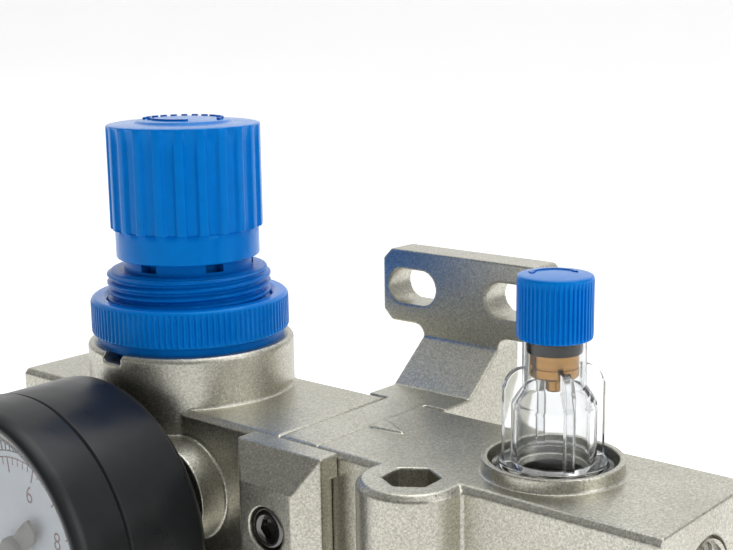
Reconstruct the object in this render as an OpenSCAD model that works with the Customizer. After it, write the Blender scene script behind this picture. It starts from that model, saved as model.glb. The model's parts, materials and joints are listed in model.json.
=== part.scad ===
// Air preparation unit: a filter regulator with gauge, joined to a lubricator by a spacer
// with a wall bracket.
//
// Own frame: X runs with the flow, from inlet to outlet. -Y is the front with the gauge.
// +Z is up. The origin is the middle of the two bracket slots, on the wall side of the
// bracket. All modules draw around the regulator axis, with z = 0 on the flat top of the
// two cast blocks, and placed() carries them to the frame.

/* [Cast blocks] */
// Half depth of the two cast blocks, front to back
block_half_y = 14.1; // [13.6:0.1:14.6]
// Height of the blocks below their flat top
block_h = 27; // [26.5:0.5:27.5]
// Bevel along the top edges
edge = 0.9; // [0.6:0.1:1.2]
// Distance from the regulator axis to the inlet face
inlet_x = 33; // [32:0.5:36]
// Distance from the regulator axis to the spacer
reg_end_x = 35.4; // [35:0.2:36]
// Width of the spacer between the blocks
spacer_w = 8.2; // [8:0.1:8.6]
// Distance from the regulator axis to the lubricator axis
lub_x = 79; // [78:0.5:80]
// Distance from the regulator axis to the outlet face
outlet_x = 104.5; // [103:0.5:106]

/* [Ports] */
// Depth of the port axis under the flat top
port_z = 12.8; // [12.6:0.1:13]
// Minor radius of the port thread, G 3/8
port_minor_r = 7.475; // [7.45:0.005:7.5]
// Length of the port thread
port_len = 12; // [11:0.5:12.5]

/* [Regulator] */
// Radius of the round collar
collar_r = 18.8; // [18.6:0.1:19.2]
// Height of the collar over the flat top
collar_z = 8.4; // [8:0.1:8.8]
// Radius of the knurled panel nut
nut_r = 18; // [17.8:0.1:18.4]
// Outer radius of the bonnet thread, M30 x 1.5
bonnet_r = 14.85; // [14.8:0.01:14.9]
// Radius of the knob over its ribs
knob_r = 13.75; // [13.6:0.05:14]
// Height of the knob top over the flat top
knob_top_z = 48.9; // [48:0.1:50]

/* [Gauge] */
// Depth of the gauge centre under the flat top
gauge_z = 20.3; // [20:0.1:20.6]
// Outer radius of the gauge case
gauge_r = 26.2; // [26:0.1:26.6]

/* [Bowls] */
// Outer radius of the clear bowls
bowl_r = 17.2; // [17.15:0.01:17.25]
// Outer radius of the bowl guards
guard_r = 20.2; // [20.1:0.05:20.25]
// Depth of the guards' lower end under the flat top
guard_bottom = 104; // [102:1:106]

/* [Bracket] */
// Width of the bracket plate
plate_w = 36.2; // [36:0.2:37]
// Height of the bracket plate
plate_h = 13.9; // [13.6:0.1:14.2]
// Thickness of the bracket plate
plate_t = 6.6; // [6:0.2:7]
// Distance between the two slots
slot_pitch = 22.4; // [22:0.1:22.8]
// Length of each slot, end to end
slot_len = 11; // [10.6:0.1:11.2]
// Width of each slot
slot_w = 6.6; // [6.4:0.1:6.8]
// Distance from the regulator axis to the plate's front face
plate_y = 30; // [29:0.5:31]
// Height of the slots over the flat top
slot_z = 16.4; // [16:0.1:17]

/* [Hidden] */
$fn = 72;
eps = 0.01;
mid_x = reg_end_x + spacer_w / 2;
lub_start_x = reg_end_x + spacer_w;
wall_y = plate_y + plate_t;
cast = [0.80, 0.79, 0.74];
blue = [0.0, 0.42, 0.80];
dark = [0.09, 0.09, 0.10];
brass = [0.72, 0.53, 0.25];
steel = [0.72, 0.73, 0.75];
clear = [0.85, 0.9, 0.92, 0.4];
rubber = [0.06, 0.06, 0.06];
// Bonnet and what turns in it
cavity_r = 15.2;
bonnet_in_r = 12.8;
bonnet_floor = 19.9;
bonnet_top = 21.9;
nut_z = [10.8, 17.2];
screw_r = 4;
run = 0.08;
seat_z = [11, 15, 17.5];
plate_top = 0.8;
diaphragm_z = [-2.4, -1.0];
valve_z = [-25.8, -25, -23.15];
// Bowl joint
skirt_r = 20.4;
seat_r = 18.6;
lug_r = 19.4;
chamber_r = 15;
guard_in_r = 17.4;
skirt_z = -42;
bowl_top = -31;
bowl_bottom = -100;
bowl_wall = 2;
lug_z = [-39.4, -37.6];
groove_z = [-39.8, -37.2];
nipple_r = 3.25;
// Gauge, measured forward from the regulator axis
gauge_back_y = 20.9;
gauge_seam_y = 36.6;
gauge_dial_y = 39;
gauge_lip_y = 46.4;
pinion_r = 0.9;
sector_r = 9;
// Clamp
clamp_half = 9.1;
clamp_face_y = 21.3;
clamp_h = 25.2;
flange_y = 18;
flange_w = 3.4;
flange_z = [-22.8, -2.6];
hook_x = 7.7;
screw_head_r = 3.5;
// Lubricator
fill_x = 64.2;
fill_y = -15.3;
siphon_y = 8.6;
ball_z = -22.37;

module placed() {
    translate([-mid_x, -wall_y, -slot_z]) children();
}

// Places children on the lubricator axis
module at_lub() {
    translate([lub_x, 0, 0]) children();
}

module tube(r_out, r_in, z_low, z_high) {
    translate([0, 0, z_low]) difference() {
        cylinder(r = r_out, h = z_high - z_low);
        translate([0, 0, -eps]) cylinder(r = r_in, h = z_high - z_low + 2 * eps);
    }
}

module rod(r, z_low, z_high) {
    translate([0, 0, z_low]) cylinder(r = r, h = z_high - z_low);
}

// A rod along X, from x_low to x_high
module x_rod(r, x_low, x_high) {
    translate([x_low, 0, 0]) rotate([0, 90, 0]) cylinder(r = r, h = x_high - x_low);
}

// A rod along -Y, from depth d_low to d_high in front of the regulator axis
module front_rod(r, d_low, d_high) {
    translate([0, -d_low, 0]) rotate([90, 0, 0]) cylinder(r = r, h = d_high - d_low);
}

module box(low, high) {
    translate(low) cube(high - low);
}

module o_ring(mean_r, wire_r) {
    rotate_extrude() translate([mean_r, 0]) circle(r = wire_r, $fn = 24);
}

// Bore of a pipe port at its minor radius, with a coned mouth, along +X from x = 0
module port_bore() {
    x_rod(port_minor_r, -eps, port_len);
    translate([-0.5, 0, 0]) rotate([0, 90, 0])
        cylinder(r1 = port_minor_r + 2, r2 = port_minor_r - 0.02, h = 2);
}

// External thread as a row of V ridges over a core, along +Z from z = 0
module thread_ridges_z(core, crest, len, pitch) {
    turns = floor(len / pitch);
    for (i = [0 : turns - 1]) translate([0, 0, i * pitch]) rotate_extrude()
        polygon([[core - 0.3, 0], [core, 0], [crest, pitch * 0.38], [crest, pitch * 0.55],
            [core, pitch * 0.93], [core - 0.3, pitch * 0.93]]);
}

// Outline of a ribbed grip: n ribs between two radii
function ribs(n, r_low, r_high) = [for (i = [0 : 4 * n - 1])
    let (a = (i + 0.5) * 90 / n, r = (i % 4 < 2) ? r_high : r_low) [r * cos(a), r * sin(a)]];

// Coil spring between two heights as one swept round wire
module coil(mean_r, wire_r, z_low, z_high, turns) {
    sides = 8;
    steps = ceil(turns * 20);
    rise = z_high - z_low - 2 * wire_r;
    points = [for (i = [0 : steps]) for (j = [0 : sides - 1])
        let (a = 360 * turns * i / steps, b = 360 * j / sides,
             r = mean_r + wire_r * cos(b))
        [r * cos(a), r * sin(a), z_low + wire_r + rise * i / steps + wire_r * sin(b)]];
    walls = [for (i = [0 : steps - 1]) for (j = [0 : sides - 1])
        let (k = (j + 1) % sides)
        [i * sides + j, i * sides + k, (i + 1) * sides + k, (i + 1) * sides + j]];
    ends = [[for (j = [sides - 1 : -1 : 0]) j], [for (j = [0 : sides - 1]) steps * sides + j]];
    polyhedron(points = points, faces = concat(walls, ends));
}

// Cast block with bevelled top edges, between two x values
module block(x_low, x_high) {
    y = block_half_y;
    rotate([90, 0, 90]) translate([0, 0, x_low]) linear_extrude(x_high - x_low)
        polygon([[-y, -block_h], [y, -block_h], [y, -edge], [y - edge, 0],
            [-y + edge, 0], [-y, -edge]]);
}

// Flanges at a block end that the clamp and the bracket hook over, side = 1 at an outlet end
module clamp_flange(x_end, side) {
    in_x = x_end - side * flange_w;
    for (front = [-1, 1]) translate([0, 0, flange_z[0]])
        linear_extrude(flange_z[1] - flange_z[0]) polygon([[x_end, 0],
            [x_end, front * flange_y], [in_x, front * flange_y],
            [in_x + side * 0.6, front * (block_half_y - 0.5)], [in_x + side * 0.6, 0]]);
}

// Round skirt under a block that takes the bowl and its guard, with a coned shoulder
module skirt() rotate_extrude()
    polygon([[0, skirt_z], [skirt_r, skirt_z], [skirt_r, -28.3], [skirt_r - 3.4, -21], [0, -21]]);

// Hollow of the skirt: chamber, bowl seat, guard seat, lug groove and three lug entries
module skirt_hollow() {
    rod(chamber_r, -30.2, -23);
    rod(bowl_r + 0.25, -36, -30);
    rod(seat_r, skirt_z - 1, -36);
    rod(lug_r + 0.2, groove_z[0], groove_z[1]);
    for (a = [60 : 120 : 300]) rotate([0, 0, a])
        box([17, -3.5, skirt_z - 1], [lug_r + 0.2, 3.5, groove_z[0] + 0.1]);
}

module inlet_thread() {
    translate([-inlet_x, 0, -port_z]) port_bore();
}

module regulator_body() color(cast) difference() {
    union() {
        block(-inlet_x, reg_end_x);
        clamp_flange(reg_end_x, 1);
        rod(collar_r, -24.9, collar_z - 0.6);
        translate([0, 0, collar_z - 0.6]) cylinder(r1 = collar_r, r2 = collar_r - 0.6, h = 0.6);
        skirt();
        // Obround boss on the front and the gauge port boss in its middle
        for (s = [-1, 1]) translate([s * 14, 0, -13.5]) front_rod(9, 12, 19.6);
        box([-14, -19.6, -22.5], [14, -12, -4.5]);
        translate([0, 0, -gauge_z]) front_rod(9.5, 12, 20);
        // Rear gauge port boss
        translate([0, 0, -port_z]) front_rod(8, -19.6, -12);
    }
    inlet_thread();
    // Fine bevel along the top of the end face
    translate([reg_end_x, 0, 0]) rotate([0, -45, 0])
        box([-0.3, -block_half_y - 1, -1], [1, block_half_y + 1, 1]);
    // Inlet gallery, down to the filter chamber
    translate([0, 0, -port_z]) x_rod(6, -inlet_x + 11, -13.5);
    translate([-13.5, 0, 0]) rod(4.4, -24, -port_z);
    // Outlet chamber and gallery
    rod(8, -17, -10);
    translate([0, 0, -port_z]) x_rod(5.6, 5, reg_end_x + 1);
    // O-ring recess on the end face
    translate([reg_end_x, 0, -port_z]) x_rod(9.2, -1.2, 1);
    // Valve seat bore, stem guide and sensing hole
    rod(4, -24, -16);
    rod(1.5 + run, -11, -5);
    translate([6, 0, 0]) rod(0.8, -11, -5);
    // Diaphragm chamber and bonnet seat, with the key notch in the rim
    rod(12.6, -6, 0);
    rod(cavity_r, diaphragm_z[0], collar_z + 1);
    rotate([0, 0, 269.5]) box([14.6, -2.35, 6.7], [20, 2.35, 10]);
    skirt_hollow();
    // Gauge ports, front and rear
    translate([0, 0, -gauge_z]) front_rod(4.9, 16.6, 21);
    translate([0, 0, -gauge_z]) front_rod(1.2, 7, 17);
    translate([0, 0, -gauge_z]) translate([0, -7.5, 0]) rod(1.2, -0.5, 6);
    translate([0, 0, -port_z]) front_rod(4.9, -20.6, -13);
    translate([0, 0, -port_z]) front_rod(1.2, -14, -7);
}

module bonnet() color(blue) {
    difference() {
        union() {
            tube(cavity_r - 0.1, bonnet_in_r, diaphragm_z[1], collar_z);
            tube(17, bonnet_in_r, collar_z, nut_z[0]);
            tube(bonnet_r - 0.75, bonnet_in_r, nut_z[0], bonnet_top);
            translate([0, 0, nut_z[0]]) thread_ridges_z(bonnet_r - 0.75, bonnet_r, 10.6, 1.5);
            rod(bonnet_in_r + 0.5, bonnet_floor, bonnet_top);
            tube(11.7, 9.7, bonnet_top - eps, 27);
        }
        rod(screw_r + run, bonnet_floor - 1, bonnet_top + 1);
        for (a = [41 : 60 : 341]) rotate([0, 0, a]) box([8, -1.6, 22.6], [13, 1.6, 28]);
        rotate([0, 0, 30]) box([12, -0.5, 3], [16.5, 0.5, 7]);
    }
}

module ring_nut() color(blue) translate([0, 0, nut_z[0] + 0.05]) {
    h = nut_z[1] - nut_z[0];
    difference() {
        union() {
            cylinder(r = nut_r - 0.3, h = h);
            translate([0, 0, 0.7]) linear_extrude(h - 1.4) polygon(ribs(72, nut_r - 0.3, nut_r));
        }
        translate([0, 0, -1]) cylinder(r = bonnet_r + run, h = h + 2);
    }
}

module regulator_knob() color(blue) difference() {
    union() {
        rod(12.97, 24.2, 47.4);
        translate([0, 0, 29.5]) linear_extrude(18.4) polygon(ribs(22, knob_r - 0.65, knob_r));
        translate([0, 0, 47.9]) cylinder(r1 = 13.4, r2 = 12.3, h = knob_top_z - 47.9);
    }
    rod(12.1, 23, 31);
    // Drive socket
    translate([0, 0, 30]) cylinder(r = 5.5, h = 14, $fn = 6);
}

module adjusting_screw() color(steel) {
    rod(screw_r, 4, 22.2);
    rod(6.5, bonnet_top + 0.1, 23.6);
    rod(3.6, 23, 26);
    translate([0, 0, 25]) cylinder(r = 5.4, h = 15, $fn = 6);
}

module screw_clip() color(steel) tube(6, screw_r, 18.4, 19.8);

module spring_seat() color(brass) difference() {
    union() {
        rod(11.6, seat_z[1], seat_z[2]);
        rod(6.8, seat_z[0], seat_z[1] + eps);
    }
    rod(screw_r + run, seat_z[0] - 1, seat_z[2] + 1);
}

module main_spring() color(steel) coil(9, 1, plate_top, seat_z[1], 4.5);

module diaphragm_plate() color(steel) {
    rod(10.6, diaphragm_z[1], plate_top - 0.6);
    rod(10.2, plate_top - 0.7, plate_top);
    rod(2.6, plate_top - eps, 2.6);
}

module diaphragm() color(rubber) rod(cavity_r - 0.2, diaphragm_z[0], diaphragm_z[1]);

module valve_stem() color(brass) {
    rod(1.5, -33.4, diaphragm_z[0] - 0.1);
    rod(5.4, valve_z[0], valve_z[1]);
}

module valve_poppet() color(rubber) tube(5.2, 1.5, valve_z[1], valve_z[2]);

module valve_spring() color(steel) coil(3.2, 0.35, -33, valve_z[0], 6);

// Screwed cage that guides the valve and holds the filter
module valve_cage() color(dark) difference() {
    union() {
        rod(8.6, -37.2, -23.02);
        rod(10.6, -38.2, -37.1);
    }
    rod(5.8, -33, -22);
    for (a = [0 : 60 : 300]) rotate([0, 0, a]) box([5, -1.5, -37], [10, 1.5, -28]);
    rod(1.5 + run, -35, -32);
    rod(2, -39, -35);
}

module deflector() color([0.86, 0.86, 0.84]) {
    tube(14.8, 8.7, -27.4, -25.6);
    tube(12.6, 11.2, -37, -27.3);
    for (a = [0 : 30 : 330]) rotate([0, 0, a]) translate([13.55, 0, -29.8])
        rotate([35, 0, 0]) cube([2.3, 0.9, 6], center = true);
}

module filter_element() color([0.93, 0.92, 0.88]) tube(10.2, 6.8, -66, -38.2);

module filter_baffle() color(dark) {
    translate([0, 0, -70]) difference() {
        cylinder(r1 = 12.4, r2 = 10.4, h = 4);
        translate([0, 0, -1]) cylinder(r = 2.05, h = 6);
    }
    for (a = [0 : 60 : 300]) rotate([0, 0, a]) box([9.4, -0.6, -74], [11.9, 0.6, -69.9]);
}

module filter_stud() color(steel) {
    rod(2, -71, -36);
    rod(3.6, -72.8, -70);
}

// Clear bowl: straight wall, rounded bottom and a drain boss
module bowl_shell() difference() {
    rotate_extrude() polygon(concat(
        [[0, bowl_bottom], [6, bowl_bottom]],
        [for (a = [-90 : 10 : 0]) [bowl_r - 11 + 10 * cos(a), -86.4 + 10 * sin(a)]],
        [[bowl_r - 0.8, -43], [bowl_r, -42.4], [bowl_r, bowl_top],
         [bowl_r - bowl_wall, bowl_top], [bowl_r - bowl_wall - 0.8, -43]],
        [for (a = [0 : -10 : -90]) [bowl_r - 11 + 7.8 * cos(a), -86.4 + 7.8 * sin(a)]],
        [[0, -94.2]]));
    rod(3 + run, bowl_bottom - 1, -90);
    rotate_extrude() translate([bowl_r + 0.2, -33.4]) square([1.9, 1.4], center = true);
}

module filter_bowl() color(clear) bowl_shell();

module bowl_seal() o_ring(bowl_r - 0.26, 0.47);

module filter_bowl_seal() color(rubber) translate([0, 0, -33.4]) bowl_seal();

// Metal guard with windows, a spigot with three lugs and a flat foot with an opening
module guard_shell() difference() {
    union() {
        rod(guard_r, -guard_bottom + 5, skirt_z - 0.3);
        translate([0, 0, -guard_bottom]) cylinder(r1 = guard_r - 5, r2 = guard_r, h = 5 + eps);
        rod(seat_r - run, skirt_z - 0.4, -36.6);
        for (a = [0 : 120 : 240]) rotate([0, 0, a]) intersection() {
            tube(lug_r, guard_in_r + 0.3, lug_z[0], lug_z[1]);
            box([15, -3, -45], [22, 3, -30]);
        }
    }
    rod(guard_in_r, -guard_bottom + 5, -30);
    translate([0, 0, -guard_bottom + 1.6]) cylinder(r1 = 14.6, r2 = guard_in_r, h = 3.41);
    rod(10, -guard_bottom - 1, -90);
    for (a = [0 : 90 : 270]) rotate([0, 0, a + 45]) box([15, -4.5, -90], [22, 4.5, -54]);
    // Track of the lock button
    rotate([0, 0, -45]) box([16.5, -2.6, -50.6], [22, 2.6, -43.4]);
}

module filter_guard() color(cast) guard_shell();

module lock_button() rotate([0, 0, -45]) {
    box([17.8, -2.5, -47.4], [20.5, 2.5, -43.6]);
    box([guard_r + 0.1, -3.8, -48.4], [guard_r + 1.8, 3.8, -43.8]);
}

module filter_lock_button() color(blue) lock_button();

module drain_stem() {
    rod(3, -104.8, bowl_bottom + 6.5);
    rod(4.6, -93.9, -92.4);
}

module filter_drain_stem() color(brass) drain_stem();

module drain_knob() difference() {
    union() {
        rod(7.2, -111, -101.2);
        translate([0, 0, -109.5]) linear_extrude(7) polygon(ribs(14, 7.2, 7.9));
        rod(nipple_r, -119, -110);
    }
    rod(1.4, -120, -105);
    rod(3 + run, -105, -100);
}

module filter_drain_knob() color(dark) drain_knob();

module rear_port_plug() color(steel) translate([0, 0, -port_z]) difference() {
    union() {
        front_rod(4.88, -20.2, -14);
        front_rod(6.2, -21.6, -19.6);
    }
    translate([0, 23, 0]) rotate([90, 0, 0]) cylinder(r = 2.9, h = 5, $fn = 6);
}

module at_gauge() {
    translate([0, 0, -gauge_z]) children();
}

module gauge_case() color(dark) at_gauge() difference() {
    union() {
        translate([0, -gauge_back_y, 0]) rotate([90, 0, 0])
            cylinder(r1 = gauge_r - 1.2, r2 = gauge_r - 0.2, h = 1.2);
        front_rod(gauge_r - 0.2, gauge_back_y + 1.2, gauge_seam_y);
        front_rod(gauge_r - 1.5, gauge_seam_y - 1, gauge_seam_y + 2);
    }
    front_rod(gauge_r - 3, gauge_back_y + 1.8, gauge_seam_y + 3);
    front_rod(5, gauge_back_y - 1, gauge_back_y + 3);
}

module gauge_stem() color(brass) at_gauge() {
    front_rod(4.88, 16.9, 26);
    translate([0, -20.05, 0]) rotate([90, 0, 0]) cylinder(r = 4.95, h = 1);
    difference() {
        box([-4, -31, -7], [4, -25.5, 4.5]);
        front_rod(3.2, 25, 32);
    }
}

// Curved pressure tube: most of a ring in the case
module gauge_tube() color(brass) at_gauge() rotate([90, 0, 0]) {
    translate([0, 0, 26.5]) rotate([0, 0, -70]) rotate_extrude(angle = 250)
        translate([17, 0]) square([1.8, 5]);
    translate([0, 0, 26.5]) rotate([0, 0, -70]) box([7.6, -1.2, 0.5], [17.6, 0.4, 4.4]);
}

// Two plates on pillars that carry the pointer spindle and the sector
module gauge_movement() color(brass) at_gauge() {
    for (y = [-31.8, -36.6]) difference() {
        box([-5.5, y, -13], [5.5, y + 0.8, 5.5]);
        translate([0, 0, 0]) front_rod(0.6 + run, 30, 38);
        translate([0, 0, -10]) front_rod(0.7 + run, 30, 38);
    }
    for (x = [-4.4, 4.4]) for (z = [-12, 4.4]) translate([x, 0, z]) front_rod(0.8, 31.2, 36.2);
}

module gauge_sector() color(brass) at_gauge() translate([0, 0, -10]) {
    front_rod(0.7, 31, 36.5);
    translate([0, -33, 0]) rotate([90, 0, 0]) linear_extrude(1.2) polygon(concat([[0, -1.5]],
        [for (a = [61 : 3 : 118]) [sector_r * cos(a), sector_r * sin(a)]]));
}

module gauge_spindle() color(steel) at_gauge() {
    front_rod(0.6, 31, 40.4);
    front_rod(pinion_r, 32.6, 34.6);
}

module gauge_dial() color([0.93, 0.94, 0.95]) at_gauge() difference() {
    front_rod(gauge_r - 3.3, gauge_dial_y - 0.8, gauge_dial_y);
    front_rod(0.9, gauge_dial_y - 2, gauge_dial_y + 1);
}

// Angle that the pointer's tip shows at rest, from the +X side
pointer_rest = 225;
module gauge_pointer() color([0.42, 0.38, 0.33]) at_gauge() {
    difference() {
        union() {
            front_rod(2.4, 40.2, 41.4);
            translate([0, -40.3, 0]) rotate([90, 0, 0]) rotate([0, 0, pointer_rest])
                linear_extrude(0.5) polygon([[-8.5, -1.9], [0, -1.1], [17, -0.25],
                    [17, 0.25], [0, 1.1], [-8.5, 1.9]]);
        }
        front_rod(0.6, 40, 40.4);
    }
}

module gauge_bezel() color(dark) at_gauge() difference() {
    union() {
        front_rod(gauge_r, gauge_seam_y + 0.1, gauge_lip_y - 1.4);
        translate([0, -gauge_lip_y + 1.4, 0]) rotate([90, 0, 0])
            cylinder(r1 = gauge_r, r2 = gauge_r - 1.2, h = 1.4);
    }
    front_rod(gauge_r - 1.45, gauge_seam_y - 1, gauge_seam_y + 2.1);
    front_rod(gauge_r - 2.6, gauge_seam_y, gauge_lip_y - 1.6);
    front_rod(gauge_r - 3.2, gauge_seam_y, gauge_lip_y + 1);
}

module gauge_lens() color(clear) at_gauge()
    front_rod(gauge_r - 2.7, gauge_lip_y - 3.4, gauge_lip_y - 1.7);

// Inner corner between the bracket plate and its web
module web_fillet(side) {
    r = 2;
    x = side * (plate_web_w / 2);
    z = slot_z - plate_h / 2;
    difference() {
        box([min(x, x + side * r), plate_y, z - r], [max(x, x + side * r), wall_y, z + eps]);
        translate([x + side * r, plate_y - 1, z - r]) rotate([-90, 0, 0])
            cylinder(r = r, h = plate_t + 2);
    }
}

plate_web_w = 17.1;
bevel = 2;
module wall_bracket() color(cast) translate([mid_x, 0, 0]) difference() {
    union() {
        // Plate with bevelled corners
        translate([0, wall_y, slot_z]) rotate([90, 0, 0]) linear_extrude(plate_t) {
            w = plate_w / 2;
            h = plate_h / 2;
            polygon([[-w + bevel, -h], [w - bevel, -h], [w, -h + bevel], [w, h - bevel],
                [w - bevel, h], [-w + bevel, h], [-w, h - bevel], [-w, -h + bevel]]);
        }
        for (s = [-1, 1]) web_fillet(s);
        // Web from the plate down to the spacer
        rotate([90, 0, 90]) translate([0, 0, -plate_web_w / 2]) linear_extrude(plate_web_w)
            polygon([[flange_y + 0.4, 0], [21.2, 0], [plate_y, 7.3], [plate_y, 12],
                [wall_y, 12], [wall_y, 1], [24, -22], [flange_y + 0.4, -24.8]]);
        // Cover over the rear flanges of both blocks, and the hooks at their sides
        difference() {
            box([-plate_web_w / 2, block_half_y + 0.1, -24.8], [plate_web_w / 2, 20.6, 0]);
            flange_pocket(1);
        }
        // Spacer between the two blocks, with their bevel at the front
        rotate([90, 0, 90]) translate([0, 0, -spacer_w / 2 + 0.02])
            linear_extrude(spacer_w - 0.04) polygon([[-block_half_y, -24.8],
                [flange_y, -24.8], [flange_y, 0], [-block_half_y + edge, 0],
                [-block_half_y, -edge]]);
        box([-spacer_w / 2 + 0.02, -flange_y, flange_z[0]],
            [spacer_w / 2 - 0.02, flange_y, flange_z[1]]);
    }
    // Two slots for the wall screws
    for (s = [-1, 1]) translate([s * slot_pitch / 2, 0, slot_z]) {
        for (e = [-1, 1]) translate([e * (slot_len - slot_w) / 2, 0, 0])
            front_rod(slot_w / 2, -wall_y - 1, -plate_y + 1);
        box([-(slot_len - slot_w) / 2, plate_y - 1, -slot_w / 2],
            [(slot_len - slot_w) / 2, wall_y + 1, slot_w / 2]);
    }
    // Flow passage and the clamp screw's hole
    translate([0, 0, -port_z]) x_rod(6.5, -spacer_w, spacer_w);
    translate([0, 0, -clamp_h / 2]) front_rod(2, 8.6, 19);
}

// Room for the two flanges and the spacer's edge inside a clamp, on side = -1 or 1 of Y
module flange_pocket(side) {
    translate([0, 0, flange_z[0] - 0.1]) linear_extrude(flange_z[1] - flange_z[0] + 0.2)
        polygon([[-hook_x, side * (flange_y + 0.1)], [hook_x, side * (flange_y + 0.1)],
            [hook_x - 0.6, side * (block_half_y - 0.4)],
            [-hook_x + 0.6, side * (block_half_y - 0.4)]]);
}

// Outline of the clamp in plan
module clamp_plan() {
    face = 5.6;
    side_y = 18.1;
    back_y = block_half_y + 0.1;
    polygon([[-face, -clamp_face_y], [face, -clamp_face_y], [clamp_half, -side_y],
        [clamp_half, -back_y], [-clamp_half, -back_y], [-clamp_half, -side_y]]);
}

// Side profile that bevels the clamp's top and bottom
module clamp_profile() {
    slope = 5.8;
    polygon([[-clamp_face_y, -clamp_h + slope], [-18.1, -clamp_h], [-14, -clamp_h],
        [-14, 0], [-18.1, 0], [-clamp_face_y, -slope]]);
}

module front_clamp() color(cast) translate([mid_x, 0, 0]) difference() {
    intersection() {
        translate([0, 0, -clamp_h]) linear_extrude(clamp_h) clamp_plan();
        rotate([90, 0, 90]) translate([0, 0, -12]) linear_extrude(24) clamp_profile();
    }
    flange_pocket(-1);
    // Relief behind the sides
    for (s = [-1, 1]) translate([s * clamp_half, 0, -clamp_h / 2])
        cube([2.4, 2 * 16.2, 17.6], center = true);
    translate([0, 0, -clamp_h / 2]) {
        front_rod(2.2, 15, 25);
        front_rod(3.7, 19.6, 25);
    }
}

module clamp_screw() color(steel) translate([mid_x, 0, -clamp_h / 2]) difference() {
    union() {
        front_rod(1.98, 9, 20);
        front_rod(screw_head_r, 19.6, 20.6);
        translate([0, -20.6, 0]) rotate([90, 0, 0])
            cylinder(r1 = screw_head_r, r2 = screw_head_r - 0.4, h = 0.4);
    }
    translate([0, -19.7, 0]) rotate([90, 0, 0]) cylinder(r = 1.73, h = 3, $fn = 6);
}

module spacer_seals() color(rubber) for (x = [reg_end_x - 0.6, lub_start_x + 0.6])
    translate([x, 0, -port_z]) rotate([0, 90, 0]) o_ring(7.9, 0.6);

module lubricator_body() color(cast) difference() {
    union() {
        block(lub_start_x, outlet_x);
        clamp_flange(lub_start_x, -1);
        at_lub() skirt();
        // Fill boss on the front, with the same bevel as the block
        translate([fill_x, fill_y, 0]) {
            rod(8.3, -block_h, -edge);
            translate([0, 0, -edge]) cylinder(r1 = 8.3, r2 = 8.3 - edge, h = edge);
        }
        translate([fill_x, 0, 0]) box([-8.3, fill_y, -block_h], [8.3, -12, -edge]);
        // Ring around the dome
        at_lub() rod(10.75, -1, 2.2);
        // Flow arrow in relief
        translate([44.4, -1.4, -0.1]) linear_extrude(0.55)
            polygon([[0, 0], [6.2, 1], [0.1, 4.4]]);
    }
    // Outlet port
    translate([outlet_x, 0, -port_z]) mirror([1, 0, 0]) port_bore();
    translate([0, 0, -port_z]) x_rod(6.5, lub_start_x - 1, outlet_x - port_len + 1);
    translate([lub_start_x, 0, -port_z]) x_rod(9.2, -1, 1.2);
    // Dome recess and the bore under it for the inner bonnet
    at_lub() rod(9.8, -0.6, 3);
    at_lub() rod(8.1, -3.6, 3);
    at_lub() rod(2.6, -7, 3);
    // Oil gallery from the bowl up to the dome, beside the flow passage
    translate([lub_x, siphon_y, 0]) rod(1.5, -26, -2);
    // Fill pocket, plug seat and gallery down to the bowl
    translate([fill_x, fill_y, 0]) {
        rotate([0, 0, 34]) translate([0, 0, -6.5]) cylinder(r = 4.5, h = 7, $fn = 6);
        rod(3.8 + run, -12.5, -6);
        rod(2.2, -26.2, -12);
        translate([0, 0, -24.6]) rotate([0, 0, 46]) x_rod(1.6, 0, 8);
    }
    at_lub() skirt_hollow();
}

// Inner plastic bonnet over the bowl, which holds the siphon tube
module lubricator_bonnet() color(dark) at_lub() difference() {
    union() {
        rod(17.1, bowl_top + 0.05, -30.05);
        rod(chamber_r - 0.2, -30.1, -26.5);
    }
    translate([0, siphon_y, 0]) rod(2, -32, -26);
    rotate([0, 0, 226]) translate([11.5, 0, 0]) rod(2, -32, -26);
}

module siphon_tube() color(clear) translate([lub_x, siphon_y, 0]) tube(1.95, 0.9, -84, -23.2);

module siphon_filter() color(brass) translate([lub_x, siphon_y, 0]) difference() {
    rod(3.4, -88, -82);
    rod(1.97, -84, -81);
}

module check_ball() color(steel) translate([lub_x, siphon_y, ball_z]) sphere(r = 1.2);

// Clear sight dome: flange, cylinder, cone, neck and four fins
module sight_dome() color(clear) at_lub() difference() {
    union() {
        rod(9.6, -0.55, 1.6);
        rod(7.9, 1, 9.6);
        translate([0, 0, 9.6]) cylinder(r1 = 7.9, r2 = 5.9, h = 3);
        rod(5.9, 12.5, 20.2);
        for (a = [27 : 90 : 297]) rotate([0, 0, a]) dome_fin();
    }
    rod(6.5, -1, 9.2);
    translate([0, 0, 9.15]) cylinder(r1 = 6.5, r2 = 4.7, h = 2.6);
    rod(4.7, 11, 21);
}

module dome_fin() translate([0, 0.5, 1]) rotate([90, 0, 0]) linear_extrude(1) difference() {
    union() {
        square([9.4, 11]);
        translate([5.4, 11]) circle(r = 4, $fn = 48);
    }
    translate([-1, -1]) square([7.2, 20]);
}

module dome_seal() color(rubber) at_lub() translate([0, 0, -2.0]) o_ring(7.0, 0.95);

// Brass block that the oil drips from, with the needle's seat
module drip_block() color(brass) at_lub() difference() {
    union() {
        rod(4.6, 14, 18.6);
        rod(2.6, 8.4, 14.1);
        rod(1.2, 6.6, 8.5);
    }
    rod(1.4 + run, 11, 19);
    rod(0.5, 6, 12);
}

module needle() color(brass) at_lub() {
    rod(1.4, 12.9, 25);
    translate([0, 0, 11.7]) cylinder(r1 = 0.4, r2 = 1.4, h = 1.21);
}

module needle_seal() color(rubber) at_lub() tube(4.65, 1.5, 18.7, 19.9);

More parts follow.
